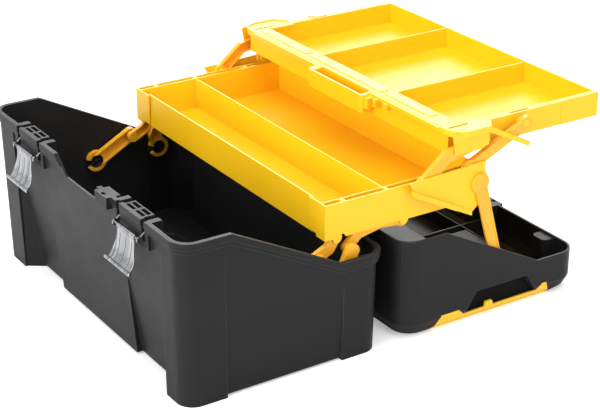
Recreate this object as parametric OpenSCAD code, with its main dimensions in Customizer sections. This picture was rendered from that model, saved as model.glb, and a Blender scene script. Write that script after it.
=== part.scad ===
// Cantilever tool box, 19 inch class, shown open: the lid lies flat behind the
// bucket and two linked trays stand over the gap between them.
// Frame: X along the box, -Y is the latch side, Z up, origin on the floor at
// the middle of the bucket. All sizes in millimetres.

/* [Bucket] */
// Length of the bucket over its rim band
box_len = 482; // [440:1:520]
// Depth of the bucket over its rim band
box_wid = 268; // [262:1:284]
// Height of the rim at the latch side
front_h = 200; // [192:1:206]
// Height of the rim at the hinge side
rear_h = 127; // [122:1:130]
// Flat rim from the latch side back to the slope
flat_front = 64; // [56:1:70]
// Horizontal run of the sloping end rim
slope_run = 142; // [130:1:146]
// Wall of the bucket
box_wall = 2.8; // [2.4:0.1:3]
// Outside radius of the upright corners
corner_r = 24; // [20:1:25]
// Height of the proud rim band
band_h = 8; // [6:0.5:12]
// How far the rim band stands proud of the walls
band_t = 2.4; // [1.6:0.1:2.6]
// How far the corner columns lean in at the floor
column_lean = 3.2; // [1:0.2:4]
// How far the end panels lean in at the floor
end_lean = 6; // [4:0.5:7]
// How far the front and rear panels lean in at the floor
side_lean = 17; // [10:1:20]
// Where the right corner columns begin
column_x_right = 195; // [188:1:198]
// Where the left corner columns begin
column_x_left = 184; // [180:1:196]
// Width of a corner column along the depth
column_wid = 56.5; // [48:0.5:60]
// How far the panels stop above the feet of the columns
foot_h = 3; // [2:0.5:5]

/* [Lid] */
// Overall height with the lid closed
closed_h = 254; // [252:1:262]
// Wall of the lid
lid_wall = 2.5; // [2:0.1:2.8]
// How far the hinge line lies behind the bucket
hinge_out = 10.8; // [9:0.2:14]
// Depth of the organiser pockets in the lid
pocket_depth = 18.5; // [12:0.5:19]
// Distance from the middle to the inner edge of an organiser cover
cover_inner_x = 78; // [72:1:90]
// Width of the organiser covers along the box depth
cover_wid = 181; // [150:1:190]
// Thickness of the organiser covers
cover_t = 2; // [1.6:0.1:2.4]

/* [Lower tray] */
// Room beside the lower tray for the linkage
side_room = 19; // [18.4:0.1:20]
// Front face of the open lower tray
low_front_y = 60; // [58:1:64]
// Depth of the lower tray
low_depth = 216; // [206:1:216]
// Rim height of the open lower tray
low_rim_z = 192; // [191:0.5:192]
// Height of the lower tray
low_height = 43; // [38:1:45]
// Wall of both trays
tray_wall = 2; // [1.6:0.1:2.4]

/* [Upper tray] */
// How much shorter each end of the upper tray is
up_inset = 6; // [5:0.5:12]
// Front face of the open upper tray
up_front_y = 232; // [231:0.5:234]
// Depth of the upper tray
up_depth = 228; // [214:1:228]
// Rim height of the open upper tray
up_rim_z = 243; // [242:0.5:243.5]
// Height of the upper tray
up_height = 29.5; // [26:0.5:29.5]
// Depth of the wide front rim of the upper tray
up_front_rim = 24; // [20:1:30]

/* [Linkage] */
// Length of every cantilever link between its pivots
link_len = 90; // [89:0.5:90.5]
// Angle of the lower links with the box open
low_open = 32; // [31:0.5:33]
// Angle of the lower links with the box closed
low_closed = 163; // [162:0.5:163.5]
// Angle of the upper links with the box open
up_open = 24; // [23.5:0.5:25]
// Angle of the upper links with the box closed
up_closed = 170; // [169:0.5:170.5]
// Spacing of the two lower link pivots on the bucket
low_spacing = 92; // [90:1:94]
// Radius of the yellow link pivot pins
link_pin_r = 4.8; // [4:0.1:5.2]
// Radius of the pins between the double end walls of the lower tray
eye_pin_r = 3.6; // [3:0.1:3.8]
// Radial clearance of the pivots
pivot_gap = 0.1; // [0.05:0.05:0.2]
// Radius of the black bucket studs that carry the links
stud_r = 9; // [7:0.5:9.5]
// Radius of the snap ring round a bucket stud
clip_r = 14; // [12.5:0.5:14]
// Thickness of the link flanges
flange_t = 2; // [1.5:0.1:2.5]
// Clear side gap between neighbouring link layers
side_gap = 0.8; // [0.5:0.1:1]

/* [Latches] */
// Distance of each latch from the middle of the box
latch_x = 132; // [128:1:136]
// Width of a latch lever
lever_wid = 50; // [44:1:52]
// Swing of a latch lever from hanging to latched
lever_swing = 143; // [140:1:145]
// Share of the lever swing that the wire bail follows
bail_share = 0.105; // [0.1:0.005:0.12]
// Thickness of the latch wire
wire_d = 2.8; // [2.4:0.1:3]
// Thickness of the lever sheet
sheet_t = 1.2; // [1:0.1:1.4]

/* [Handle] */
// Length of the carrying handle between its pivots
handle_len = 124; // [112:1:128]
// Reach of the carrying handle from its pivots
handle_reach = 38; // [34:1:40]

/* [Hidden] */

$fn = 48;
eps = 0.02;
BLACK = [0.2, 0.2, 0.21];
YELLOW = [1, 0.8, 0.05];
STEEL = [0.75, 0.76, 0.78];
TIP_BLACK = [0.08, 0.08, 0.08];

// ---------- places that several pieces share ----------
half_len = box_len / 2;
half_wid = box_wid / 2;
low_half = half_len - side_room;
up_half = low_half - up_inset;
slope_front_y = -half_wid + flat_front;
slope_rear_y = slope_front_y + slope_run;
rim_slope = (front_h - rear_h) / slope_run;
hinge_y = half_wid + hinge_out;
hinge_z = rear_h;
hinge_r = 5.5;
hinge_pin_r = 2.5;

function on_circle(r, a) = [r * cos(a), r * sin(a)];
function turned(p, a) = [p[0] * cos(a) - p[1] * sin(a), p[0] * sin(a) + p[1] * cos(a)];
function unit(v) = v / norm(v);
// A point given with the lid closed, moved to the open pose, and back again
function opened(p) = [2 * hinge_y - p[0], 2 * hinge_z - p[1]];

// Lower pivots on the bucket, in the Y-Z plane
low_pivot_z = 101;
P_front = [0, low_pivot_z];
P_rear = P_front + [low_spacing, 0];
low_arm = on_circle(link_len, low_open);
U_front = P_front + low_arm;
U_rear = P_rear + low_arm;
low_shift = on_circle(link_len, low_closed) - low_arm;

// Upper pivots: on the tray plates and under the upper tray
V_front = [low_front_y + 130, low_rim_z - 3];
V_rear = V_front + [66, 7];
up_arm = on_circle(link_len, up_open);
W_front = V_front + up_arm;
W_rear = V_rear + up_arm;
up_shift = on_circle(link_len, up_closed) - up_arm;

// Lid arm: from the boss on the lower tray to a stud inside the lid. The stud
// lies on the line whose points are as far from the boss when open as when closed.
B_boss = [low_front_y + 207, low_rim_z - 16];
boss_turned = opened(B_boss + low_shift);
arm_mid = (B_boss + boss_turned) / 2;
arm_dir = unit(B_boss - boss_turned);
arm_drop = 108;
L_stud = arm_mid + arm_drop * [arm_dir[1], -arm_dir[0]];

// Layers along X at each end of the box, from the trays outwards
link_x0 = low_half + side_gap + 0.2;
low_link_x1 = link_x0 + 7;
double_wall = 9;
eye_x0 = low_half - double_wall + side_gap;
eye_x1 = low_half - tray_wall - side_gap;
clip_x1 = low_link_x1 + 1;
up_link_x1 = link_x0 + 6.5;
plate_x0 = up_link_x1 + side_gap;
plate_x1 = plate_x0 + 2.2;
ledge_x1 = plate_x1 + 4.8;
strip_x0 = plate_x1 + 0.6;
ear_x1 = half_len - lid_wall - 3.3;
arm_x0 = plate_x1 + side_gap;
arm_x1 = half_len - lid_wall - 1.1;

// Latch pivots and the place where the lever's tip rod comes to rest
bail_pivot = [-half_wid + 7, front_h - 12];
lever_pivot = bail_pivot + [-11, -10];
rod_r = 2.2;
rod_hang = [-13.5, -38.3];
bail_swing = lever_swing * bail_share;
lever_pivot_up = bail_pivot + turned(lever_pivot - bail_pivot, -bail_swing);
rod_up = lever_pivot_up + turned(rod_hang, -(bail_swing + lever_swing));
latch_half = 39;
core_half = 22;
wire_r = wire_d / 2;
bail_half = lever_wid / 2 + 3;

// Organiser pockets and covers, with the lid closed
cover_mid_y = -5;
cover_recess = cover_t + 0.4;
pocket_floor_t = 2;
pocket_floor_z = closed_h - cover_recess - pocket_depth;
cover_hinge_r = 1.5;
cover_axis_z = closed_h - 2.6;
flap_h = 16;
handle_axis = [20, closed_h - 11];
handle_pin_r = 3;
recess_half = handle_len / 2 + 8;

// ---------- helpers ----------
module along_x(x0, x1) {
    translate([x0, 0, 0]) rotate([90, 0, 90]) linear_extrude(x1 - x0) children();
}

module rod_x(p, r, x0, x1) {
    translate([x0, p[0], p[1]]) rotate([0, 90, 0]) cylinder(h = x1 - x0, r = r);
}

module box_between(a, b) {
    translate(a) cube(b - a);
}

// The piece and its mirror image at the other end
module both_ends() {
    children();
    mirror([1, 0, 0]) children();
}

module at_left() {
    mirror([1, 0, 0]) children();
}

module rounded_plan(len, wid, r) {
    square([len - 2 * r, wid], center = true);
    square([len, wid - 2 * r], center = true);
    for (sx = [-1, 1], sy = [-1, 1])
        translate([sx * (len / 2 - r), sy * (wid / 2 - r)]) circle(r);
}

// A bar with round ends between two points of the Y-Z plane
module capsule(a, b, r) {
    d = b - a;
    translate(a) rotate(atan2(d[1], d[0])) translate([0, -r]) square([norm(d), 2 * r]);
    translate(a) circle(r + 0.06);
    translate(b) circle(r + 0.06);
}

module chain(points, r) {
    for (i = [0 : len(points) - 2]) capsule(points[i], points[i + 1], r);
}

// ---------- rim line shared by bucket and lid ----------
// Everything of the Y-Z plane under the rim line, dropped by d
beyond = box_len;
module under_rim(d = 0) {
    polygon([[-beyond, -50], [beyond, -50], [beyond, rear_h - d], [slope_rear_y, rear_h - d],
             [slope_front_y, front_h - d], [-beyond, front_h - d]]);
}

// ---------- bucket ----------
// Leaning panels between the columns; s shrinks every side by a wall
module tub_body(s, floor_z) {
    top_len = box_len - 2 * band_t - 2 * s;
    top_wid = box_wid - 2 * band_t - 2 * s;
    r = corner_r - band_t - s;
    hull() {
        translate([0, 0, floor_z]) linear_extrude(eps)
            rounded_plan(top_len - 2 * end_lean, top_wid - 2 * side_lean, r, $fn = 32);
        translate([0, 0, rear_h + 6]) linear_extrude(eps) intersection() {
            rounded_plan(top_len, top_wid, r, $fn = 32);
            translate([0, half_wid]) square([2 * box_len, box_wid - 2 * column_wid], center = true);
        }
        translate([0, 0, front_h + 6]) linear_extrude(eps) intersection() {
            rounded_plan(top_len, top_wid, r, $fn = 32);
            translate([0, -half_wid]) square([2 * box_len, box_wid - 2 * column_wid], center = true);
        }
    }
}

// Plan of one corner column, with a slanted inner side
module column_plan(x, s) {
    depth = half_wid - column_wid + s;
    polygon([[x + s, half_wid + 9], [x + s, half_wid - 6], [x + s - 14, half_wid - 26], [x + s - 14, depth],
             [box_len, depth], [box_len, half_wid + 9]]);
}

module corner_columns(s, floor_z) {
    top_len = box_len - 2 * band_t;
    top_wid = box_wid - 2 * band_t;
    taper = [1 - 2 * column_lean / top_len, 1 - 2 * column_lean / top_wid];
    translate([0, 0, front_h + 6]) mirror([0, 0, 1])
    linear_extrude(front_h + 6 - floor_z, scale = taper, slices = 1) intersection() {
        rounded_plan(top_len - 2 * s, top_wid - 2 * s, corner_r - band_t - s, $fn = 32);
        for (sy = [-1, 1]) scale([1, sy]) {
            column_plan(column_x_right, s);
            scale([-1, 1]) column_plan(column_x_left, s);
        }
    }
}

// Upright channel under each latch; s widens it by a wall on the inside
channel_top = 170;
channel_in = 8;
channel_inner = 97;
module latch_channels(s) {
    floor_y = -half_wid + band_t + side_lean + channel_in + s;
    both_ends() along_x(channel_inner - s, column_x_left + s)
        polygon([[-half_wid - 20, -10], [floor_y, -10], [floor_y, 0],
                 [-half_wid + band_t + s, channel_top], [-half_wid - 20, channel_top]]);
}

module bucket_outer() {
    difference() {
        tub_body(0, foot_h);
        latch_channels(0);
    }
    corner_columns(0, 0);
}

module bucket_inner() {
    difference() {
        tub_body(box_wall, foot_h + box_wall);
        latch_channels(box_wall);
    }
    corner_columns(box_wall, box_wall);
}

// Band round the outside of the rim, following its slope: high is its height
// and back how far its face stands behind the outermost band
module rim_band(wall, high, back) {
    intersection() {
        linear_extrude(closed_h) difference() {
            rounded_plan(box_len - 2 * back, box_wid - 2 * back, corner_r - back);
            rounded_plan(box_len - 2 * wall - 2 * band_t, box_wid - 2 * wall - 2 * band_t,
                         corner_r - wall - band_t);
        }
        along_x(-half_len - 1, half_len + 1) difference() {
            under_rim();
            under_rim(high);
        }
    }
}

// Low middle of the front rim between the latch blocks
dip_left = -60;
dip_right = 54;
dip_z = front_h - 23;
module front_dip() {
    translate([0, -half_wid - 10, 0]) rotate([90, 0, 0]) mirror([0, 0, 1]) linear_extrude(40)
        polygon([[dip_left, front_h + 1], [dip_left + 22, dip_z], [dip_right - 4, dip_z],
                 [dip_right, front_h + 1]]);
}

// Rim block that carries one latch: a cored middle, open slots and outer ears
block_front_y = -half_wid + 3;
block_back_y = -half_wid + 19;
block_z0 = front_h - 24;
module latch_block() {
    ear_x0 = bail_half + wire_r + 1.4;
    pocket_w = core_half - 5;
    difference() {
        union() {
            box_between([latch_x - core_half, block_front_y, block_z0],
                        [latch_x + core_half, block_back_y, front_h]);
            for (s = [-1, 1])
                translate([latch_x, 0, 0]) scale([s, 1, 1])
                    box_between([ear_x0, block_front_y + 2, block_z0], [latch_half, block_back_y, front_h]);
        }
        for (s = [-1, 1]) {
            for (y = [block_front_y + 2, block_back_y - 6.8])
                translate([latch_x + s * (core_half / 2 - 0.5) - pocket_w / 2, y, front_h - 9])
                    cube([pocket_w, 5, 20]);
        }
        rod_x(bail_pivot, wire_r + pivot_gap, latch_x - core_half - 1, latch_x + core_half + 1);
    }
}

// Slots through the rim where the arms of the bail pass
module latch_slots() {
    for (s = [-1, 1])
        translate([latch_x + s * (bail_half + 0.7), 0, 0])
            box_between([-4.6, -half_wid - 20, block_z0], [3.4, -half_wid + 12, front_h + 10]);
}

eye_x = 74;
eye_half = 14;
eye_r = 4;
module padlock_eye(z0, z1) {
    difference() {
        box_between([eye_x - eye_half, -half_wid - 6, z0], [eye_x + eye_half, -half_wid + 12, z1]);
        translate([eye_x, -half_wid - 0.5, z0 - 1]) cylinder(h = z1 - z0 + 2, r = eye_r);
    }
}

// Hinge knuckles: outer pairs on the bucket, middle ones on the lid
hinge_x = 130;
knuckle = 15;
hinge_side_gap = 0.4;
module knuckle_at(x0, x1, down) {
    difference() {
        union() {
            rod_x([hinge_y, hinge_z], hinge_r, x0, x1);
            along_x(x0, x1) polygon([[half_wid - 1, hinge_z - down * 1], [hinge_y, hinge_z - down * 0.5],
                                     [hinge_y, hinge_z - down * hinge_r],
                                     [half_wid - 1, hinge_z - down * 14]]);
        }
        rod_x([hinge_y, hinge_z], hinge_pin_r + pivot_gap, x0 - 1, x1 + 1);
    }
}

module bucket_knuckles() {
    both_ends() for (s = [-1, 1])
        translate([hinge_x + s * (knuckle + hinge_side_gap), 0, 0])
            knuckle_at(-knuckle / 2, knuckle / 2, 1);
}

module bucket() {
    color(BLACK) {
        difference() {
            union() {
                intersection() {
                    bucket_outer();
                    along_x(-half_len, half_len) under_rim();
                }
                rim_band(box_wall / 2, band_h, 0);
                rim_band(box_wall / 2, band_h + 5, band_t * 0.6);
                both_ends() along_x(latch_x - latch_half, latch_x + latch_half)
                    polygon([[-half_wid + 1, front_h], [-half_wid + 6, front_h],
                             [-half_wid + 6, block_z0 - 8], [-half_wid + 1, block_z0 - 8]]);
            }
            bucket_inner();
            front_dip();
            both_ends() {
                latch_slots();
                rod_x(bail_pivot, wire_r + pivot_gap, latch_x - bail_half - 3, latch_x + bail_half + 3);
            }
        }
        both_ends() latch_block();
        padlock_eye(front_h - 14, front_h);
        both_ends() pivot_studs();
        bucket_knuckles();
        floor_panel();
    }
}

// Stud faces that carry the snap rings of the lower links
module pivot_studs() {
    for (p = [P_front, P_rear]) {
        rod_x(p, stud_r, clip_x1 + 0.4, half_len - band_t - box_wall / 2 - 1.5);
        rod_x(p, stud_r + 3, half_len - band_t - box_wall - 4, half_len - band_t - box_wall / 2 - 2);
    }
}

// Raised outline on the floor, and the middle pad under it
module floor_panel() {
    cylinder(h = foot_h + 1, r = 14);
    translate([0, 0, foot_h + box_wall - eps]) linear_extrude(1.5 + eps) difference() {
        rounded_plan(box_len - 150, box_wid - 110, 30);
        rounded_plan(box_len - 158, box_wid - 118, 26);
    }
}

// ---------- lid, modelled closed and then turned open ----------
module turned_open() {
    translate([0, hinge_y, hinge_z]) rotate([180, 0, 0]) translate([0, -hinge_y, -hinge_z]) children();
}

edge_run = 11;
edge_rise = 18;
module lid_body(s) {
    module slice(inset, z) {
        translate([0, 0, z]) linear_extrude(eps)
            rounded_plan(box_len - 2 * s - 2 * inset, box_wid - 2 * s - 2 * inset, corner_r - s, $fn = 32);
    }
    hull() {
        slice(0, rear_h - 10);
        slice(0, closed_h - edge_rise - s * 0.4);
        slice(edge_run * 0.4, closed_h - edge_rise * 0.35 - s * 0.8);
        slice(edge_run, closed_h - s - eps);
    }
}

module above_rim_cut() {
    along_x(-half_len - 5, half_len + 5) under_rim(-0.4);
}

pocket_x1 = half_len - 17;
pocket_y0 = cover_mid_y - cover_wid / 2 + 6;
pocket_y1 = cover_mid_y + cover_wid / 2 - 6;
grip_y0 = cover_mid_y - 66;
grip_y1 = cover_mid_y + 47;
grip_depth = 8;
grip_z0 = closed_h - 38;
flap_z0 = closed_h - 4 - flap_h;
flap_mid_z = closed_h - 11.5;

// Solid stuff behind the top skin that the pockets are cut from
module lid_blocks() {
    both_ends() {
        box_between([cover_inner_x - 4, pocket_y0 - 2, pocket_floor_z - pocket_floor_t],
                    [half_len, pocket_y1 + 2, closed_h]);
        box_between([half_len - grip_depth - 2.5, grip_y0 - 3, grip_z0 - 2.5],
                    [half_len, grip_y1 + 3, closed_h - 10]);
    }
    box_between([-recess_half - 2, -32, pocket_floor_z - pocket_floor_t],
                [recess_half + 2, 34, closed_h]);
}

module lid_ribs() {
    rib_z = pocket_floor_z - pocket_floor_t;
    both_ends() box_between([58, -half_wid + 1, rib_z], [60, half_wid - 1, closed_h - 1]);
    box_between([-half_len + 1, pocket_y0 - 6, rib_z], [half_len - 1, pocket_y0 - 4, closed_h - 1]);
}

module flap_outline(grow) {
    y0 = cover_mid_y - cover_wid / 2 - grow;
    y1 = cover_mid_y + cover_wid / 2 + grow;
    polygon([[y0, closed_h], [y0 + 10, flap_z0 - grow], [grip_y0 - 8, flap_z0 - grow],
             [grip_y0 + 1 - grow, flap_mid_z - grow], [grip_y1 - 1 + grow, flap_mid_z - grow],
             [grip_y1 + 8, flap_z0 - grow], [y1 - 10, flap_z0 - grow], [y1, closed_h]]);
}

module lid_pockets() {
    both_ends() {
        // recess for the cover and its end flap, then the pocket under it
        difference() {
            cover_region(0.5);
            under_edge(cover_recess);
        }
        box_between([cover_inner_x + 6, pocket_y0, pocket_floor_z], [pocket_x1, pocket_y1, closed_h + 1]);
        along_x(half_len - grip_depth, half_len + 5)
            polygon([[grip_y0, flap_mid_z + 1], [grip_y0 + 18, grip_z0], [grip_y1 - 18, grip_z0],
                     [grip_y1, flap_mid_z + 1]]);
        // groove for the hinge barrel of the cover
        translate([cover_inner_x + 2.4, cover_mid_y - cover_wid / 2 - 0.5, cover_axis_z]) rotate([-90, 0, 0])
            cylinder(h = cover_wid + 1, r = 3.8);
        // hinge sockets of the cover
        for (y = [cover_mid_y - cover_wid / 2 - 3.5, cover_mid_y + cover_wid / 2 - 0.5])
            translate([cover_inner_x + 2.4, y, cover_axis_z]) rotate([-90, 0, 0])
                cylinder(h = 4, r = cover_hinge_r + pivot_gap);
    }
    box_between([-recess_half, -30, pocket_floor_z], [recess_half, 32, closed_h + 1]);
    rod_x(handle_axis, handle_pin_r + pivot_gap, -recess_half - 1.5, recess_half + 1.5);
}

// Latch catch: a shelf with a groove that the lever's rod drops into
module lid_catch() {
    catch_half = 15;
    difference() {
        along_x(latch_x - catch_half, latch_x + catch_half)
            polygon([[-half_wid + 1, rod_up[1] - 2], [-half_wid + 1, rod_up[1] - 14], [-half_wid - 3, rod_up[1] - 14],
                     [rod_up[0] - 1, rod_up[1] - 7], [rod_up[0] - 1, rod_up[1] - 1.4]]);
        rod_x(rod_up, rod_r + 0.4, latch_x - catch_half - 1, latch_x + catch_half + 1);
    }
}

module lid_knuckles() {
    both_ends() translate([hinge_x, 0, 0]) knuckle_at(-knuckle / 2, knuckle / 2, -1);
}

module lid_closed() {
    difference() {
        union() {
            difference() {
                lid_body(0);
                lid_body(lid_wall);
            }
            intersection() {
                lid_body(0);
                union() {
                    lid_blocks();
                    lid_ribs();
                }
            }
        }
        above_rim_cut();
        lid_pockets();
    }
    both_ends() {
        lid_catch();
        // rounded housings behind the front wall, beside the latches
        for (x = [182, 192]) translate([x, -half_wid + 12, front_h + 3]) cylinder(h = closed_h - front_h - 5, r = 7);
        box_between([182, -half_wid + 12, front_h + 3], [192, -half_wid + 19, closed_h - 2]);
        box_between([175, -half_wid + 1, front_h + 3], [199, -half_wid + 12, closed_h - 2]);
        // stud that carries the lid arm
        rod_x(opened(L_stud), link_pin_r + 1, arm_x0, half_len - lid_wall / 2);
    }
    padlock_eye(front_h + 0.4, front_h + 12);
    lid_knuckles();
}

module lid() {
    color(BLACK) turned_open() lid_closed();
}

module hinge_pins() {
    color(STEEL) both_ends()
        rod_x([hinge_y, hinge_z], hinge_pin_r, hinge_x - 1.6 * knuckle, hinge_x + 1.6 * knuckle);
}

// ---------- organiser covers ----------
// The lid's rounded top edge, seen from the front; d moves it inwards
module edge_profile(d) {
    top = closed_h - d;
    polygon([[0, 0], [half_len - d, 0], [half_len - d, closed_h - edge_rise - d * 0.4],
             [half_len - edge_run * 0.4 - d, closed_h - edge_rise * 0.35 - d * 0.8],
             [half_len - edge_run - d, top], [0, top]]);
}

module under_edge(d) {
    translate([0, half_wid, 0]) rotate([90, 0, 0]) linear_extrude(box_wid) edge_profile(d);
}

module cover_region(grow) {
    y0 = cover_mid_y - cover_wid / 2 - grow;
    y1 = cover_mid_y + cover_wid / 2 + grow;
    bend_x = half_len - edge_run - 3;
    translate([cover_inner_x - grow, y0, closed_h - 6]) cube([bend_x - cover_inner_x + grow + 0.1, y1 - y0, 8]);
    along_x(bend_x, half_len + 5) flap_outline(grow);
}

module cover_closed() {
    y0 = cover_mid_y - cover_wid / 2;
    y1 = cover_mid_y + cover_wid / 2;
    // top sheet and end flap in one, following the rounded edge of the lid
    intersection() {
        difference() {
            under_edge(0);
            under_edge(cover_t);
        }
        cover_region(0);
    }
    // snap tab in the finger grip
    tab_y = cover_mid_y + 8;
    box_between([half_len - 5, tab_y - 6, flap_z0 - 9], [half_len - 1, tab_y + 6, flap_mid_z + 1]);
    // hinge barrel and its end pins
    difference() {
        translate([cover_inner_x + 2.4, y0 + 0.5, cover_axis_z]) rotate([-90, 0, 0])
            cylinder(h = cover_wid - 1, r = 2.2);
        translate([cover_inner_x - 5, y0 + 14, cover_axis_z - 5]) cube([15, cover_wid - 28, 5.4]);
    }
    translate([cover_inner_x + 2.4, y0 - 3, cover_axis_z]) rotate([-90, 0, 0])
        cylinder(h = cover_wid + 6, r = cover_hinge_r);
    // stiffening lip inside the pocket
    translate([0, 0, closed_h - cover_t - 3]) linear_extrude(3.1) difference() {
        translate([cover_inner_x + 7, pocket_y0 + 1]) square([pocket_x1 - cover_inner_x - 8, pocket_y1 - pocket_y0 - 2]);
        translate([cover_inner_x + 8.6, pocket_y0 + 2.6])
            square([pocket_x1 - cover_inner_x - 11.2, pocket_y1 - pocket_y0 - 5.2]);
    }
}

module organiser_cover_right() {
    color(YELLOW) turned_open() cover_closed();
}

module organiser_cover_left() {
    color(YELLOW) at_left() turned_open() cover_closed();
}

// ---------- carrying handle, folded into the lid ----------
module handle_closed() {
    grip_y = handle_axis[0] - handle_reach;
    rod_x([grip_y, handle_axis[1]], 7, -handle_len / 2, handle_len / 2);
    difference() {
        both_ends() {
            along_x(handle_len / 2 - 6, handle_len / 2 + 6)
                capsule([grip_y, handle_axis[1]], handle_axis, 7);
        }
        rod_x(handle_axis, handle_pin_r + pivot_gap, -handle_len, handle_len);
    }
}

module carrying_handle() {
    color(BLACK) turned_open() handle_closed();
}

module handle_pins() {
    color(STEEL) turned_open() both_ends()
        rod_x(handle_axis, handle_pin_r, handle_len / 2 - 5, recess_half + 1.4);
}

// ---------- lower tray ----------
low_floor_z = low_rim_z - low_height;
low_rear_y = low_front_y + low_depth;
ledge_front = V_front + [-13, -8];
ledge_slope = rim_slope;
ledge_run = B_boss[0] - 9 - ledge_front[0];
function ledge_z(y) = ledge_front[1] - (y - ledge_front[0]) * ledge_slope;
end_jog = 3;
divider_y = low_front_y + 84;

module tray_shell(half, y0, y1, z0, z1) {
    difference() {
        box_between([-half, y0, z0], [half, y1, z1]);
        box_between([-half + double_wall + tray_wall, y0 + tray_wall, z0 + tray_wall],
                    [half - double_wall - tray_wall, y1 - tray_wall, z1 + 1]);
    }
}

// Front panel set back between the corners
module low_front_recess() {
    box_between([-low_half + 34, low_front_y - 1, low_floor_z - 1],
                [low_half - 34, low_front_y + end_jog, low_rim_z + 1]);
}

module low_front_wall() {
    box_between([-low_half + 30, low_front_y + end_jog, low_floor_z],
                [low_half - 30, low_front_y + end_jog + tray_wall, low_rim_z]);
}

// Channels between the double end walls, with bridging tabs near the rim
tab_depth = 22;
module end_channels(half, y0, y1, z0, z1, tabs) {
    both_ends() difference() {
        box_between([half - double_wall, y0 + tray_wall, z0 + tray_wall], [half - tray_wall, y1 - tray_wall, z1 + 1]);
        for (y = tabs) box_between([half - double_wall - 1, y, z1 - tab_depth], [half, y + 5, z1 + 1]);
    }
}

// Slots in the channel floors where the lower links come up between the walls
module link_slots() {
    both_ends() box_between([low_half - double_wall, low_front_y + tray_wall, low_floor_z - 1],
                            [low_half - tray_wall, U_rear[0] + 32, low_floor_z + tray_wall + 1]);
}

// Outboard plate with its sloping ledge; it guides the upper links
ledge_t = 3;
module low_plate() {
    plate_tip = [ledge_front[0] - 10, low_rim_z + 5];
    plate_top_z = low_rim_z + 9;
    end_y = ledge_front[0] + ledge_run;
    along_x(plate_x0, plate_x1)
        polygon([plate_tip, [ledge_front[0], ledge_front[1]], [end_y, ledge_z(end_y)],
                 [low_rear_y - 6, ledge_z(end_y) + 10], [low_rear_y, low_floor_z + 30],
                 [low_rear_y, plate_top_z], [plate_tip[0] + 40, plate_top_z - 3]]);
    module ledge_bar(x1, y1)
        along_x(plate_x0, x1)
            polygon([[ledge_front[0] - 6, ledge_z(ledge_front[0] - 6) + 3],
                     [ledge_front[0] - 5, ledge_z(ledge_front[0] - 5) - ledge_t],
                     [y1, ledge_z(y1) - ledge_t], [y1, ledge_z(y1) + 4]]);
    // wide over the sloping rim, narrow where it dips behind the flat rim
    ledge_bar(ledge_x1, slope_rear_y - low_shift[0] - 1);
    ledge_bar(plate_x1 + 1.6, end_y);
    // floor of the plate, clear of the swing of the upper links
    floor_y0 = ledge_front[0] + 16;
    along_x(low_half - 1, plate_x1)
        polygon([[floor_y0, ledge_z(floor_y0) - ledge_t], [end_y, ledge_z(end_y) - ledge_t],
                 [end_y, ledge_z(end_y) - 0.5], [floor_y0, ledge_z(floor_y0) - 0.5]]);
    // rear web that ties the plate to the tray
    along_x(low_half - 1, plate_x1)
        polygon([[low_rear_y - 2, low_floor_z + 30], [low_rear_y, low_floor_z + 30],
                 [low_rear_y, low_rim_z], [low_rear_y - 2, low_rim_z]]);
    // pins for the upper links
    for (v = [V_front, V_rear]) rod_x(v, link_pin_r, low_half - 1, plate_x0 + 1);
    // boss and pin for the lid arm
    rod_x(B_boss, 13.5, plate_x1 - 1, plate_x1 + side_gap / 2);
    rod_x(B_boss, link_pin_r + 1, plate_x1 - 1, arm_x1 - 1.6);
}

// Lugs under both end walls, with the pins of the lower links between them
module low_lugs() {
    lug_r = eye_pin_r + 2;
    for (u = [U_front, U_rear]) {
        along_x(low_half - tray_wall, low_half) capsule(u, u + [0, 10], lug_r);
        along_x(low_half - double_wall - tray_wall, low_half - double_wall) capsule(u, u + [0, 10], lug_r);
        rod_x(u, eye_pin_r, low_half - double_wall - 1, low_half - 1);
    }
}

module lower_tray() {
    color(YELLOW) {
        difference() {
            tray_shell(low_half, low_front_y, low_rear_y, low_floor_z, low_rim_z);
            low_front_recess();
            end_channels(low_half, low_front_y, low_rear_y, low_floor_z, low_rim_z,
                         [low_front_y + 24, divider_y - 1.5, low_front_y + 160]);
            link_slots();
            // notches under the corners where the front links come up
            both_ends() {
                along_x(low_half - tray_wall - 1, low_half + 1)
                    polygon([for (a = [0:15:180]) [low_front_y + 22 + 6 * cos(a), low_floor_z + 5 * sin(a) - 0.5]]);
                box_between([low_half - 42, low_front_y - 1, low_floor_z - 1],
                            [low_half - 18, low_front_y + end_jog + 1, low_floor_z + 4]);
            }
        }
        low_front_wall();
        box_between([-low_half + double_wall, divider_y, low_floor_z + 1],
                    [low_half - double_wall, divider_y + tray_wall, low_rim_z - 1]);
        both_ends() {
            low_plate();
            low_lugs();
        }
    }
}

// ---------- upper tray ----------
up_floor_z = up_rim_z - up_height;
up_rear_y = up_front_y + up_depth;
ear_y1 = up_front_y + 58;
rim_t = 3;
module up_dividers() {
    both_ends() box_between([80, up_front_y + up_front_rim - 1, up_floor_z + 1],
                            [80 + tray_wall, up_rear_y - 1, up_rim_z - 1]);
}

// Plan of one ear; grow moves its outer edge
ear_r = 24;
ear_front = up_front_y - 4;
module ear_plan(grow) {
    inner = up_half - 12;
    intersection() {
        union() {
            translate([ear_x1 - ear_r, ear_front + ear_r]) circle(ear_r + grow);
            polygon([[inner, ear_front - grow], [ear_x1 - ear_r, ear_front - grow],
                     [ear_x1 - ear_r, ear_front + ear_r], [ear_x1 + grow, ear_front + ear_r],
                     [ear_x1 + grow, ear_y1 - 10], [up_half, ear_y1 + 4], [inner, ear_y1 + 4]]);
        }
        translate([inner, ear_front - grow]) square([100, 100]);
    }
}

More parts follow.
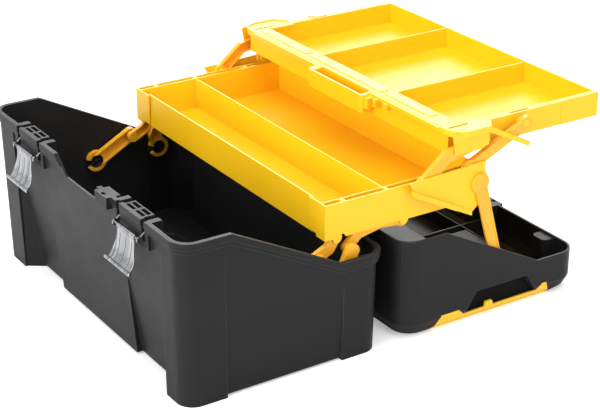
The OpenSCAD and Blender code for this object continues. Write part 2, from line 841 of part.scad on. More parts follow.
// Ears at the front corners, with a raised lip and skirts over the upper links
module up_ear() {
    lip_t = 2;
    translate([0, 0, up_rim_z - rim_t]) linear_extrude(rim_t) ear_plan(0);
    translate([0, 0, up_rim_z - 6]) linear_extrude(7.5) difference() {
        ear_plan(0);
        ear_plan(-lip_t);
        translate([0, up_front_y]) square([up_half + 1, 200]);
    }
    // outer skirt beside the links
    along_x(plate_x0, plate_x1)
        polygon([[up_front_y - 5, up_rim_z - 1], [up_front_y, up_floor_z + 4], [ear_y1 - 20, up_floor_z + 4],
                 [ear_y1 - 10, up_floor_z + 10], [ear_y1 - 10, up_rim_z - 1]]);
    // sloping guide strip that continues the lip
    strip0 = [ear_y1 - 12, up_rim_z + 1];
    strip_run = 62;
    strip1 = strip0 + [strip_run, -strip_run * rim_slope];
    along_x(strip_x0, ear_x1)
        polygon([strip0, strip0 + [0, -7], strip1 + [-2, -5.5], strip1]);
}

// Wide front rim: an inverted channel with a lip, and the hand grip in its bulge
grip_x0 = -41;
grip_x1 = 62;
bulge_y = up_front_y - 17.5;
bulge_h = 24;
module bulge_plan(inset) {
    polygon([[grip_x0 - 14 + inset, up_front_y + 2], [grip_x0 - 9 + inset, bulge_y + 3 + inset],
             [grip_x0 - 6 + inset, bulge_y + inset], [grip_x1 + 3 - inset, bulge_y + inset],
             [grip_x1 + 6 - inset, bulge_y + 3 + inset], [grip_x1 + 6 - inset, up_front_y + 2]]);
}

module up_front_box() {
    difference() {
        box_between([-up_half, up_front_y, up_floor_z], [up_half, up_front_y + up_front_rim, up_rim_z]);
        // open underside
        box_between([-up_half + tray_wall, up_front_y + tray_wall, up_floor_z - 1],
                    [up_half - tray_wall, up_front_y + up_front_rim - tray_wall, up_rim_z - rim_t]);
    }
    // raised pads on the rim
    for (x = [[-200, -92], [-86, 74], [80, 172]])
        box_between([x[0], up_front_y + 7, up_rim_z - 1], [x[1], up_front_y + 19, up_rim_z + 0.9]);
    // lip along the front edge, and the bulge with the hand grip, open on top
    difference() {
        union() {
            box_between([-up_half, ear_front, up_rim_z - 5.5], [up_half, up_front_y + 1, up_rim_z - 0.6]);
            translate([0, 0, up_rim_z - bulge_h]) linear_extrude(bulge_h - 1.5) bulge_plan(0);
        }
        box_between([grip_x0, bulge_y + 3, up_rim_z - bulge_h + 2.5], [grip_x1, up_front_y - 0.5, up_rim_z + 1]);
    }
    // stepped stops beside the grip
    box_between([grip_x1 + 5, bulge_y + 4, up_rim_z - 18], [grip_x1 + 13, up_front_y + 1, up_rim_z - 4]);
    box_between([grip_x1 + 18, bulge_y + 8, up_rim_z - 13], [grip_x1 + 24, up_front_y + 1, up_rim_z - 3]);
    box_between([grip_x1 + 36, bulge_y + 10, up_rim_z - 10], [grip_x1 + 44, up_front_y + 1, up_rim_z - 3]);
}

module up_rim_slots() {
    slot_len = 28;
    both_ends() for (y = [up_front_y + 4, up_front_y + 94])
        box_between([up_half - 6.2, y, up_rim_z - rim_t - 1], [up_half - 2.6, y + slot_len, up_rim_z + 1]);
}

end_step = 0.9;
end_step_len = 58;
module upper_tray() {
    ledge = 8;
    inner_y0 = up_front_y + up_front_rim;
    color(YELLOW) {
        difference() {
            union() {
                difference() {
                    box_between([-up_half, inner_y0 - 1, up_floor_z], [up_half, up_rear_y, up_rim_z]);
                    box_between([-up_half + ledge, inner_y0, up_floor_z + tray_wall],
                                [up_half - ledge, up_rear_y - tray_wall, up_rim_z + 1]);
                    // hollow under the end ledges
                    both_ends() box_between([up_half - ledge + tray_wall, inner_y0, up_floor_z - 1],
                                            [up_half - tray_wall, up_rear_y - tray_wall, up_rim_z - rim_t]);
                }
                up_front_box();
                both_ends() {
                    up_ear();
                    // thicker rear part of the end wall
                    box_between([up_half - 1, up_rear_y - end_step_len, up_floor_z],
                                [up_half + end_step, up_rear_y, up_rim_z - 1]);
                }
            }
            up_rim_slots();
        }
        up_dividers();
        both_ends() for (w = [W_front, W_rear]) rod_x(w, link_pin_r, up_half - 1, up_link_x1 - 0.4);
    }
}

// ---------- links ----------
// Channel-section link: a web on the outside and flanges that face inwards
module link_bar(points, half_w, x0, x1, web) {
    difference() {
        along_x(x0, x1) chain(points, half_w);
        along_x(x0 - 1, x1 - web) chain(points, half_w - flange_t);
    }
}

// Lower link: its eye sits between the double end walls of the tray, a round
// bridge passes under the outer wall, and an open snap ring holds the bucket's stud
bridge_r = 5.5;
module lower_link(p, u, outer, bridge, inner, half_w) {
    web = 2;
    mouth = 26;
    difference() {
        union() {
            link_bar(concat([p], outer, [bridge]), half_w, link_x0, low_link_x1, web);
            link_bar(concat([bridge], inner, [u]), half_w - 2, eye_x0, eye_x1, web - 0.4);
            rod_x(bridge, bridge_r, eye_x0, low_link_x1);
            rod_x(u, eye_pin_r + 4.8, eye_x0, eye_x1);
            rod_x(p, clip_r, link_x0 + 2, clip_x1);
        }
        rod_x(u, eye_pin_r + pivot_gap, eye_x0 - 1, eye_x1 + 1);
        rod_x(p, stud_r + pivot_gap, link_x0 - 1, clip_x1 + 1);
        // mouth of the snap ring
        along_x(link_x0 - 1, clip_x1 + 1)
            polygon([p, p + on_circle(40, 190 - mouth), p + on_circle(40, 190 + mouth)]);
    }
}

front_outer = [P_front + [22, 12]];
front_bridge = P_front + [50, 27];
front_inner = [U_front + [-8, -12]];
rear_outer = [P_rear + [-5, 17]];
rear_bridge = P_rear + [1, 31];
rear_inner = [P_rear + [16, 45], U_rear + [-30, 3]];

module lower_front_link() {
    lower_link(P_front, U_front, front_outer, front_bridge, front_inner, 9);
}

module lower_rear_link() {
    lower_link(P_rear, U_rear, rear_outer, rear_bridge, rear_inner, 8.5);
}

module lower_front_link_right() {
    color(YELLOW) lower_front_link();
}

module lower_front_link_left() {
    color(YELLOW) at_left() lower_front_link();
}

module lower_rear_link_right() {
    color(YELLOW) lower_rear_link();
}

module lower_rear_link_left() {
    color(YELLOW) at_left() lower_rear_link();
}

// Black plugs in the snap rings, facing the studs of the bucket
module pivot_plugs(p) {
    color(TIP_BLACK) both_ends() difference() {
        rod_x(p, stud_r, link_x0 + 2, clip_x1);
        rod_x(p, stud_r - 3, link_x0 + 1, link_x0 + 4);
    }
}

module front_pivot_plugs() {
    pivot_plugs(P_front);
}

module rear_pivot_plugs() {
    pivot_plugs(P_rear);
}

module upper_link(v, w, knees, half_w) {
    difference() {
        union() {
            link_bar(concat([v], knees, [w]), half_w, link_x0, up_link_x1, 1.8);
            for (q = [v, w]) rod_x(q, 9, link_x0, up_link_x1);
        }
        for (q = [v, w]) rod_x(q, link_pin_r + pivot_gap, link_x0 - 1, up_link_x1 + 2);
    }
}

up_knees = [V_front + [33, 27]];

module upper_front_link_right() {
    color(YELLOW) upper_link(V_front, W_front, up_knees, 7.5);
}

module upper_front_link_left() {
    color(YELLOW) at_left() upper_link(V_front, W_front, up_knees, 7.5);
}

module upper_rear_link_right() {
    color(YELLOW) upper_link(V_rear, W_rear, [], 6.5);
}

module upper_rear_link_left() {
    color(YELLOW) at_left() upper_link(V_rear, W_rear, [], 6.5);
}

// ---------- lid arms ----------
module lid_arm() {
    pin_r = link_pin_r + 1 + pivot_gap;
    difference() {
        union() {
            difference() {
                along_x(arm_x0, arm_x1) chain([B_boss, L_stud], 7.8);
                along_x(arm_x0 - 1, arm_x1 - 1.6) chain([B_boss, L_stud], 7.8 - flange_t);
            }
            rod_x(B_boss, 12, arm_x0, arm_x1 - 1);
            rod_x(L_stud, 9, arm_x0, arm_x1);
        }
        rod_x(B_boss, pin_r, arm_x0 - 1, arm_x1 - 1.4);
        rod_x(L_stud, pin_r, arm_x0 - 1, arm_x1 + 1);
    }
}

module lid_arm_right() {
    color(YELLOW) lid_arm();
}

module lid_arm_left() {
    color(YELLOW) at_left() lid_arm();
}

// ---------- latches ----------
module latch_bail() {
    rod_x(bail_pivot, wire_r, latch_x - bail_half, latch_x + bail_half);
    for (s = [-1, 1]) {
        x = latch_x + s * bail_half;
        along_x(x - wire_r, x + wire_r) chain([bail_pivot, lever_pivot], wire_r);
        rod_x(lever_pivot, wire_r, min(x, x - s * 11), max(x, x - s * 11));
        // eyelet round the end of the lever barrel
        difference() {
            rod_x(lever_pivot, wire_r + 2.2, x - wire_r, x + wire_r);
            rod_x(lever_pivot + [-9, 0], 6, x - wire_r - 1, x + wire_r + 1);
        }
    }
}

module latch_bail_right() {
    color(STEEL) latch_bail();
}

module latch_bail_left() {
    color(STEEL) at_left() latch_bail();
}

module latch_lever() {
    barrel_r = wire_r + pivot_gap + sheet_t;
    knee = lever_pivot + [-4.2, -21];
    kick = lever_pivot + [-8.4, -35.5];
    tip = lever_pivot + rod_hang;
    x0 = latch_x - lever_wid / 2;
    x1 = latch_x + lever_wid / 2;
    taper = 5;
    difference() {
        union() {
            rod_x(lever_pivot, barrel_r, x0 + taper, x1 - taper);
            intersection() {
                along_x(x0, x1) chain([lever_pivot + [-1, -1.5], knee, kick, tip], sheet_t / 2);
                // the sheet is narrower at the wire
                translate([0, 0, tip[1] - 5]) rotate([90, 0, 0]) linear_extrude(box_wid)
                    polygon([[x0, 0], [x1, 0], [x1, 12], [x1 - taper, 45], [x1 - taper, 60],
                             [x0 + taper, 60], [x0 + taper, 45], [x0, 12]]);
            }
            // pressed ribs down the sheet
            for (i = [-1 : 1])
                along_x(latch_x + i * 13 - 2.5, latch_x + i * 13 + 2.5)
                    chain([lever_pivot + [-2, -7], knee + [-0.9, 0], kick + [-0.9, 1]], sheet_t / 2);
            rod_x(tip, rod_r, x0 - 4, x1 + 4);
        }
        rod_x(lever_pivot, wire_r + pivot_gap, x0 - 1, x1 + 1);
    }
}

module latch_lever_right() {
    color(STEEL) latch_lever();
}

module latch_lever_left() {
    color(STEEL) at_left() latch_lever();
}

bucket();
lid();
hinge_pins();
lower_tray();
upper_tray();
lower_front_link_left();
lower_front_link_right();
lower_rear_link_left();
lower_rear_link_right();
front_pivot_plugs();
rear_pivot_plugs();
upper_front_link_left();
upper_front_link_right();
upper_rear_link_left();
upper_rear_link_right();
lid_arm_left();
lid_arm_right();
latch_bail_left();
latch_bail_right();
latch_lever_left();
latch_lever_right();
organiser_cover_left();
organiser_cover_right();
carrying_handle();
handle_pins();
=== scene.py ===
"""Looks of an open cantilever tool box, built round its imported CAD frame."""

import logging
import math
from contextlib import contextmanager
from dataclasses import dataclass
from enum import Enum
from typing import Callable, Iterable, Iterator

import bmesh
import bpy
from mathutils import Matrix, Vector

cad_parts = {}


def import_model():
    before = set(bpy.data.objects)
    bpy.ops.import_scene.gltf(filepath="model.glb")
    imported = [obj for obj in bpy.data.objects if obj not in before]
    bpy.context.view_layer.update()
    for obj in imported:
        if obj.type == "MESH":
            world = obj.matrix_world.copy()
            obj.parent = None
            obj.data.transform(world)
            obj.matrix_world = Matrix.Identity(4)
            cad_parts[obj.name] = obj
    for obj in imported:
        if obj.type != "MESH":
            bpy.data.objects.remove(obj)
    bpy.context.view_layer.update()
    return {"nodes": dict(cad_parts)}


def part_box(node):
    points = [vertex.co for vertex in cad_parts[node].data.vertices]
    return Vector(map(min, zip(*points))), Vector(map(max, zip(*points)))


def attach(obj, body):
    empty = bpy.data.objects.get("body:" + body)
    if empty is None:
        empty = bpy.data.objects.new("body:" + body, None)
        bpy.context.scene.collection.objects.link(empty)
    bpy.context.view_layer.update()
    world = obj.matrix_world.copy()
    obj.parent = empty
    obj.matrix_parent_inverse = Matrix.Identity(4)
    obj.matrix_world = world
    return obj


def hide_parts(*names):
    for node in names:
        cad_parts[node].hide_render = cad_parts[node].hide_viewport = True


LOG = logging.getLogger("tool_box")

Colour = tuple[float, float, float]
Point = tuple[float, float, float]
Pair = tuple[float, float]
Socket = bpy.types.NodeSocket
Piece = bpy.types.Object

# Round ends have more corners than the four of a plain face.
PLAIN_CORNERS = 4
# A face whose normal has at least this share along X looks along X.
LOOKS_ALONG_X = 0.9
# A face whose normal has less than this share along X lies round the axis.
LIES_ROUND = 0.5


# ---------------------------------------------------------------- node helpers
class Nodes:
    """A small builder of one material's node tree."""

    def __init__(self, name: str) -> None:
        """Starts an empty node material.

        Args:
            name: Name of the new material.
        """
        self.material = bpy.data.materials.new(name)
        self.material.use_nodes = True
        self.tree = self.material.node_tree
        self.tree.nodes.clear()
        self.output = self.tree.nodes.new("ShaderNodeOutputMaterial")
        self.object_point = self.tree.nodes.new("ShaderNodeTexCoord").outputs["Object"]

    def node(self, kind: str, **values: object) -> bpy.types.Node:
        """Adds a node and sets its plain properties.

        Args:
            kind: Blender's name of the node type.
            **values: Properties of the node and their values.

        Returns:
            The new node.
        """
        made = self.tree.nodes.new(kind)
        for key, value in values.items():
            setattr(made, key, value)
        return made

    def link(self, source: Socket, target: Socket) -> None:
        """Joins an output socket to an input socket."""
        self.tree.links.new(source, target)

    def feed(self, value: object, socket: Socket) -> None:
        """Gives a socket its value.

        Args:
            value: A socket to join, a colour or a plain number.
            socket: The input socket.
        """
        if isinstance(value, Socket):
            self.link(value, socket)
        elif isinstance(value, tuple):
            socket.default_value = (*value, 1.0)
        else:
            socket.default_value = value

    def noise(self, scale: float, detail: float = 2.0, stretch: Point = (1, 1, 1)) -> Socket:
        """Adds a noise over the object's own coordinates.

        Args:
            scale: Number of features along one metre.
            detail: Octaves of the noise.
            stretch: Scale of the coordinates along X, Y and Z.

        Returns:
            The factor output of the noise.
        """
        mapping = self.node("ShaderNodeMapping")
        mapping.inputs["Scale"].default_value = stretch
        self.link(self.object_point, mapping.inputs["Vector"])
        made = self.node("ShaderNodeTexNoise")
        made.inputs["Scale"].default_value = scale
        made.inputs["Detail"].default_value = detail
        self.link(mapping.outputs["Vector"], made.inputs["Vector"])
        return made.outputs["Fac"]

    def remap(self, source: Socket, low: float, high: float,
              start: float = 0.3, end: float = 0.7) -> Socket:
        """Maps a factor from one range to another.

        Args:
            source: The factor to map.
            low: Result at the start of the range.
            high: Result at the end of the range.
            start: Value of the factor that gives low.
            end: Value of the factor that gives high.

        Returns:
            The mapped value.
        """
        made = self.node("ShaderNodeMapRange")
        made.inputs["From Min"].default_value = start
        made.inputs["From Max"].default_value = end
        made.inputs["To Min"].default_value = low
        made.inputs["To Max"].default_value = high
        self.link(source, made.inputs["Value"])
        return made.outputs["Result"]

    def mix(self, factor: Socket, first: object, second: object) -> Socket:
        """Mixes two colours, each a socket or a plain colour.

        Args:
            factor: How much of the second colour shows.
            first: The colour at factor 0.
            second: The colour at factor 1.

        Returns:
            The mixed colour.
        """
        made = self.node("ShaderNodeMix", data_type="RGBA")
        self.link(factor, made.inputs[0])
        # A mix node keeps its colours in inputs 6 and 7, and the result in output 2.
        for value, socket in ((first, made.inputs[6]), (second, made.inputs[7])):
            self.feed(value, socket)
        return made.outputs[2]

    def soft_edges(self, radius: float) -> Socket:
        """Adds the rounding that a mould leaves on every edge.

        Args:
            radius: Radius of the edges in metres.

        Returns:
            The rounded normal.
        """
        made = self.node("ShaderNodeBevel", samples=4)
        made.inputs["Radius"].default_value = radius
        return made.outputs["Normal"]

    def edge_mask(self, rounded: Socket) -> Socket:
        """Finds the edges, where the rounded normal leaves the plain one.

        Args:
            rounded: The rounded normal.

        Returns:
            A factor that is 1 on edges.
        """
        geometry = self.node("ShaderNodeNewGeometry")
        dot = self.node("ShaderNodeVectorMath", operation="DOT_PRODUCT")
        self.link(rounded, dot.inputs[0])
        self.link(geometry.outputs["Normal"], dot.inputs[1])
        return self.remap(dot.outputs["Value"], 1.0, 0.0, 0.75, 0.98)

    def bump(self, height: Socket, strength: float, distance: float,
             normal: Socket) -> Socket:
        """Adds a bump on top of a normal.

        Args:
            height: Height field.
            strength: Share of the bump that shows.
            distance: Height of the bump in metres.
            normal: Normal under the bump.

        Returns:
            The bumped normal.
        """
        made = self.node("ShaderNodeBump")
        made.inputs["Strength"].default_value = strength
        made.inputs["Distance"].default_value = distance
        self.link(height, made.inputs["Height"])
        self.link(normal, made.inputs["Normal"])
        return made.outputs["Normal"]

    def shade(self, **values: object) -> bpy.types.Node:
        """Adds the main shader and joins it to the output.

        Args:
            **values: Socket names with _ for spaces, and sockets or plain values.

        Returns:
            The shader node.
        """
        made = self.node("ShaderNodeBsdfPrincipled")
        for key, value in values.items():
            self.feed(value, made.inputs[key.replace("_", " ")])
        self.link(made.outputs["BSDF"], self.output.inputs["Surface"])
        return made


# -------------------------------------------------------------------- finishes
# Marks of a moulded surface, as features along one metre.
FLOW_MARKS = 7.0
FLOW_STRETCH = (1.0, 0.6, 1.6)
POLISH_PATCHES = 38.0
GRAIN_STRENGTH = 0.55
# Light in the plastic: its index, and how far red, green and blue spread in metres.
PLASTIC_IOR = 1.49
SPREAD_RADIUS = (0.004, 0.002, 0.0004)
SPREAD_SCALE = 0.6
# Marks of drawn steel sheet, as features along one metre, and its edges in metres.
DRAWING_LINES = 900.0
DULL_PATCHES = 220.0
STEEL_EDGE_RADIUS = 0.0006
LINE_STRENGTH = 0.15
LINE_DEPTH = 0.00002


@dataclass(frozen=True)
class MouldedPlastic:
    """Injection moulded plastic with a spark-eroded grain and soft edges.

    Attributes:
        name: Name of the material.
        colour: Main colour.
        shade: Colour of the slightly darker flow marks.
        edge: Colour of the painted highlight that lightens the edges.
        rough: Lowest and highest roughness over the surface.
        grain: Features of the grain along one metre.
        depth: Height of the grain in metres.
        edge_radius: Radius of the moulded edges in metres.
        glow: Weight of the light that the plastic spreads inside.
        gloss: Strength of the surface's mirror light, with 0.5 as plain plastic.
    """

    name: str
    colour: Colour
    shade: Colour
    edge: Colour
    rough: Pair
    grain: float = 1500.0
    depth: float = 0.00012
    edge_radius: float = 0.0009
    glow: float = 0.0
    gloss: float = 0.5

    def build(self) -> bpy.types.Material:
        """Builds the material.

        Returns:
            The finished material.
        """
        n = Nodes(self.name)
        rounded = n.soft_edges(self.edge_radius)
        flow = n.noise(FLOW_MARKS, 3.0, FLOW_STRETCH)
        cloud = n.noise(POLISH_PATCHES, 4.0)
        fine = n.noise(self.grain, 2.0)
        body = n.mix(n.remap(flow, 0.0, 1.0, 0.25, 0.75), self.colour, self.shade)
        # Painted highlight: the edge mask lightens the edges towards the edge colour.
        body = n.mix(n.remap(n.edge_mask(rounded), 0.0, 0.7, 0.0, 1.0), body, self.edge)
        rough = n.remap(cloud, self.rough[0], self.rough[1])
        normal = n.bump(fine, GRAIN_STRENGTH, self.depth, rounded)
        shader = n.shade(Base_Color=body, Roughness=rough, Normal=normal)
        shader.inputs["IOR"].default_value = PLASTIC_IOR
        shader.inputs["Specular IOR Level"].default_value = self.gloss
        if self.glow:
            shader.inputs["Subsurface Weight"].default_value = self.glow
            shader.inputs["Subsurface Radius"].default_value = SPREAD_RADIUS
            shader.inputs["Subsurface Scale"].default_value = SPREAD_SCALE
        return n.material


@dataclass(frozen=True)
class ZincPlate:
    """Bright zinc plated steel, drawn along one direction.

    Attributes:
        name: Name of the material.
        colour: Main colour of the plate.
        dull: Colour of the duller streaks.
        edge_shade: Colour of the painted shade on the edges and the grooves' rims.
        rough: Lowest and highest roughness.
        lay: Stretch of the drawing lines along X, Y and Z.
    """

    name: str
    colour: Colour = (0.50, 0.51, 0.525)
    dull: Colour = (0.25, 0.255, 0.265)
    edge_shade: Colour = (0.07, 0.07, 0.075)
    rough: Pair = (0.16, 0.28)
    lay: Point = (1.0, 0.05, 0.05)

    def build(self) -> bpy.types.Material:
        """Builds the material.

        Returns:
            The finished material.
        """
        n = Nodes(self.name)
        rounded = n.soft_edges(STEEL_EDGE_RADIUS)
        lines = n.noise(DRAWING_LINES, 3.0, self.lay)
        patches = n.noise(DULL_PATCHES, 2.0, self.lay)
        body = n.mix(n.remap(patches, 0.0, 1.0), self.colour, self.dull)
        # Painted shade: the edge mask darkens the edges and groove rims towards the edge-shade
        # colour.
        body = n.mix(n.remap(n.edge_mask(rounded), 0.0, 0.85, 0.1, 0.9), body, self.edge_shade)
        rough = n.remap(lines, self.rough[0], self.rough[1])
        normal = n.bump(lines, LINE_STRENGTH, LINE_DEPTH, rounded)
        n.shade(Base_Color=body, Roughness=rough, Normal=normal, Metallic=1.0)
        return n.material


class Finish(Enum):
    """The finishes of the tool box."""

    # The edge colour of each plastic is a painted highlight along its edges.
    BLACK = MouldedPlastic(
        "black_polypropylene", colour=(0.0185, 0.0183, 0.0188), shade=(0.0150, 0.0148, 0.0152),
        edge=(0.17, 0.17, 0.175), rough=(0.38, 0.44), grain=1300.0, depth=0.00014, gloss=0.14)
    YELLOW = MouldedPlastic(
        "yellow_polypropylene", colour=(1.0, 0.60, 0.010), shade=(1.0, 0.555, 0.007),
        edge=(1.0, 0.78, 0.16), rough=(0.34, 0.46), grain=2400.0, depth=0.00005, glow=0.16,
        gloss=0.4)
    LINK = MouldedPlastic(
        "yellow_link_acetal", colour=(0.98, 0.48, 0.024), shade=(0.94, 0.44, 0.018),
        edge=(1.0, 0.66, 0.12), rough=(0.26, 0.38), grain=3200.0, depth=0.00003, glow=0.08,
        gloss=0.4)
    PLUG = MouldedPlastic(
        "pivot_plug_black", colour=(0.012, 0.012, 0.013), shade=(0.009, 0.009, 0.010),
        edge=(0.06, 0.06, 0.062), rough=(0.22, 0.34), grain=3000.0, depth=0.00003)
    # Painted shade: a near-black matte finish for the sheet that darkens the grip hollows.
    HOLLOW_SHADE = MouldedPlastic(
        "hollow_shade_sheet_black", colour=(0.0030, 0.0028, 0.0026), shade=(0.0022, 0.0021, 0.0020),
        edge=(0.02, 0.02, 0.02), rough=(0.62, 0.72), grain=1100.0, depth=0.0002, gloss=0.10)
    SHEET_STEEL = ZincPlate("zinc_latch_plate", lay=(1.0, 0.04, 0.04))
    WIRE_STEEL = ZincPlate("zinc_latch_wire", rough=(0.12, 0.26))
    # Painted shade: a dark steel finish for the faces in the pressed grooves, where shade falls.
    GROOVE_SHADE_STEEL = ZincPlate(
        "zinc_latch_groove_shade", colour=(0.06, 0.06, 0.065), dull=(0.03, 0.03, 0.032),
        rough=(0.4, 0.5))


class Paint:
    """Hands out each finish as one shared material."""

    def __init__(self) -> None:
        """Starts with no material made."""
        self.made: dict[Finish, bpy.types.Material] = {}

    def material(self, finish: Finish) -> bpy.types.Material:
        """Gives the material of a finish, building it on first use.

        Args:
            finish: The finish.

        Returns:
            The material.
        """
        if finish not in self.made:
            self.made[finish] = finish.value.build()
        return self.made[finish]

    def dress(self, piece: Piece, finish: Finish) -> None:
        """Gives every slot of a piece one finish.

        Args:
            piece: The piece to dress.
            finish: Its finish.
        """
        material = self.material(finish)
        if not piece.data.materials:
            piece.data.materials.append(material)
        for index in range(len(piece.data.materials)):
            piece.data.materials[index] = material


# ------------------------------------------------------------------- CAD nodes
@dataclass
class CadDressing:
    """Puts the finishes on the CAD nodes.

    Attributes:
        nodes: The CAD nodes by name.
        paint: Where the materials come from.
    """

    nodes: dict[str, Piece]
    paint: Paint

    def finish_of(self, name: str) -> Finish:
        """Chooses the finish of a node.

        Args:
            name: Name of the node.

        Returns:
            Its finish.
        """
        if name.startswith("latch_lever"):
            return Finish.SHEET_STEEL
        if name.startswith("latch_bail") or name in ("hinge_pins", "handle_pins"):
            return Finish.WIRE_STEEL
        if name.endswith("pivot_plugs"):
            return Finish.PLUG
        if name in ("bucket", "lid", "carrying_handle"):
            return Finish.BLACK
        if "link" in name or name.startswith("lid_arm"):
            return Finish.LINK
        return Finish.YELLOW

    def dress_all(self) -> None:
        """Dresses every node of the frame."""
        for name, node in sorted(self.nodes.items()):
            self.paint.dress(node, self.finish_of(name))
            LOG.info("dressed %s", name)


# ------------------------------------------------------------------- workbench
class Side(Enum):
    """The two ends of the box, by the sign of X."""

    RIGHT = 1.0
    LEFT = -1.0

    @property
    def word(self) -> str:
        """The end's word in piece and body names."""
        return self.name.lower()


class Workbench:
    """The hand tools that shape the added pieces, and their finishing."""

    def __init__(self, paint: Paint) -> None:
        """Keeps the finishes at hand.

        Args:
            paint: Where the materials come from.
        """
        self.paint = paint

    def clear(self) -> None:
        """Deselects everything."""
        if bpy.context.object and bpy.context.object.mode != "OBJECT":
            bpy.ops.object.mode_set(mode="OBJECT")
        bpy.ops.object.select_all(action="DESELECT")

    def only(self, piece: Piece) -> None:
        """Selects one piece and makes it active."""
        self.clear()
        piece.select_set(True)
        bpy.context.view_layer.objects.active = piece

    @contextmanager
    def shaping(self, piece: Piece, mode: str) -> Iterator[None]:
        """Opens a piece in edit mode with nothing selected.

        Args:
            piece: The piece to shape.
            mode: VERT, EDGE or FACE.

        Yields:
            Nothing, while the piece is open.
        """
        self.only(piece)
        bpy.ops.object.mode_set(mode="EDIT")
        bpy.ops.mesh.select_mode(type=mode)
        bpy.ops.mesh.select_all(action="DESELECT")
        yield
        bpy.ops.object.mode_set(mode="OBJECT")

    def pick(self, piece: Piece, parts: str, wanted: Callable[..., bool]) -> None:
        """Selects the faces or edges of the open piece that are wanted, and no others.

        Args:
            piece: The open piece.
            parts: Either faces or edges.
            wanted: Says whether a face or an edge is wanted.
        """
        mesh = bmesh.from_edit_mesh(piece.data)
        for part in getattr(mesh, parts):
            part.select_set(False)
        for part in getattr(mesh, parts):
            if wanted(part):
                part.select_set(True)
        bmesh.update_edit_mesh(piece.data)

    def cut_across(self, piece: Piece, places: Iterable[float]) -> None:
        """Cuts a piece across X at several places and keeps every part.

        Args:
            piece: The piece.
            places: Where the cuts are, as X.
        """
        with self.shaping(piece, "VERT"):
            for place in places:
                bpy.ops.mesh.select_all(action="SELECT")
                bpy.ops.mesh.bisect(plane_co=(place, 0.0, 0.0), plane_no=(1.0, 0.0, 0.0))

    def rod(self, radius: float, low: Point, high: Point, around: int = 32,
            rounding: float = 0.0) -> Piece:
        """Makes a round bar along X with rounded rims.

        Args:
            radius: Radius of the bar.
            low: Middle of the end at the low X.
            high: Middle of the end at the high X.
            around: Faces round the bar.
            rounding: Width of the rounding at both rims.

        Returns:
            The bar.
        """
        self.clear()
        middle = tuple((a + b) / 2 for a, b in zip(low, high))
        bpy.ops.mesh.primitive_cylinder_add(
            vertices=around, radius=radius, depth=high[0] - low[0],
            location=middle, rotation=(0.0, math.pi / 2, 0.0))
        bar = bpy.context.object
        bpy.ops.object.transform_apply(location=True, rotation=True, scale=True)
        if rounding:
            with self.shaping(bar, "FACE"):
                self.pick(bar, "faces", lambda face: len(face.verts) > PLAIN_CORNERS)
                bpy.ops.mesh.region_to_loop()
                bpy.ops.mesh.bevel(offset=rounding, segments=3, affect="EDGES")
        return bar

    def bore(self, bar: Piece, radius: float, hole: float) -> None:
        """Bores a round bar along its axis from end to end.

        Args:
            bar: The bar, with plain ends.
            radius: Radius of the bar.
            hole: Radius of the bore.
        """
        with self.shaping(bar, "FACE"):
            self.pick(bar, "faces", lambda face: len(face.verts) > PLAIN_CORNERS)
            bpy.ops.mesh.inset(thickness=radius - hole)
            bpy.ops.mesh.bridge_edge_loops()

    def modify(self, piece: Piece, kind: str, **values: object) -> None:
        """Adds a modifier and applies it.

        Args:
            piece: The piece.
            kind: Blender's name of the modifier.
            **values: Its settings.
        """
        self.only(piece)
        bpy.ops.object.modifier_add(type=kind)
        modifier = piece.modifiers[-1]
        for key, value in values.items():
            setattr(modifier, key, value)
        bpy.ops.object.modifier_apply(modifier=modifier.name)

    def join(self, pieces: list[Piece]) -> Piece:
        """Joins pieces into the first one.

        Args:
            pieces: The pieces.

        Returns:
            The joined piece.
        """
        self.clear()
        for piece in pieces:
            piece.select_set(True)
        bpy.context.view_layer.objects.active = pieces[0]
        bpy.ops.object.join()
        return pieces[0]

    def at_other_end(self, piece: Piece) -> Piece:
        """Copies a piece to the left end of the box, mirrored.

        Args:
            piece: The piece at the right end.

        Returns:
            The copy, with its own mesh.
        """
        self.only(piece)
        bpy.ops.object.duplicate()
        copy = bpy.context.object
        bpy.ops.transform.resize(value=(-1.0, 1.0, 1.0), center_override=(0.0, 0.0, 0.0))
        bpy.ops.object.transform_apply(location=True, rotation=True, scale=True)
        with self.shaping(copy, "FACE"):
            bpy.ops.mesh.select_all(action="SELECT")
            bpy.ops.mesh.normals_make_consistent(inside=False)
        return copy

    def both_ends(self, piece: Piece) -> tuple[tuple[Side, Piece], ...]:
        """Gives both ends, each with the right end's piece or its mirrored copy."""
        return (Side.RIGHT, piece), (Side.LEFT, self.at_other_end(piece))

    def finish(self, piece: Piece, name: str, body: str, slot: str, finish: Finish,
               smooth: float = 40.0) -> None:
        """Names, smooths, paints and places a finished piece.

        Args:
            piece: The piece.
            name: Its name.
            body: The CAD body that it rides on.
            slot: The record's material slot; not used.
            finish: Its finish.
            smooth: Edges flatter than this many degrees are smoothed.
        """
        self.only(piece)
        bpy.ops.object.transform_apply(location=True, rotation=True, scale=True)
        bpy.ops.object.shade_smooth_by_angle(angle=math.radians(smooth))
        piece.name = name
        piece.data.name = name
        self.paint.dress(piece, finish)
        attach(piece, body)
        self.clear()
        LOG.info("made %s", name)


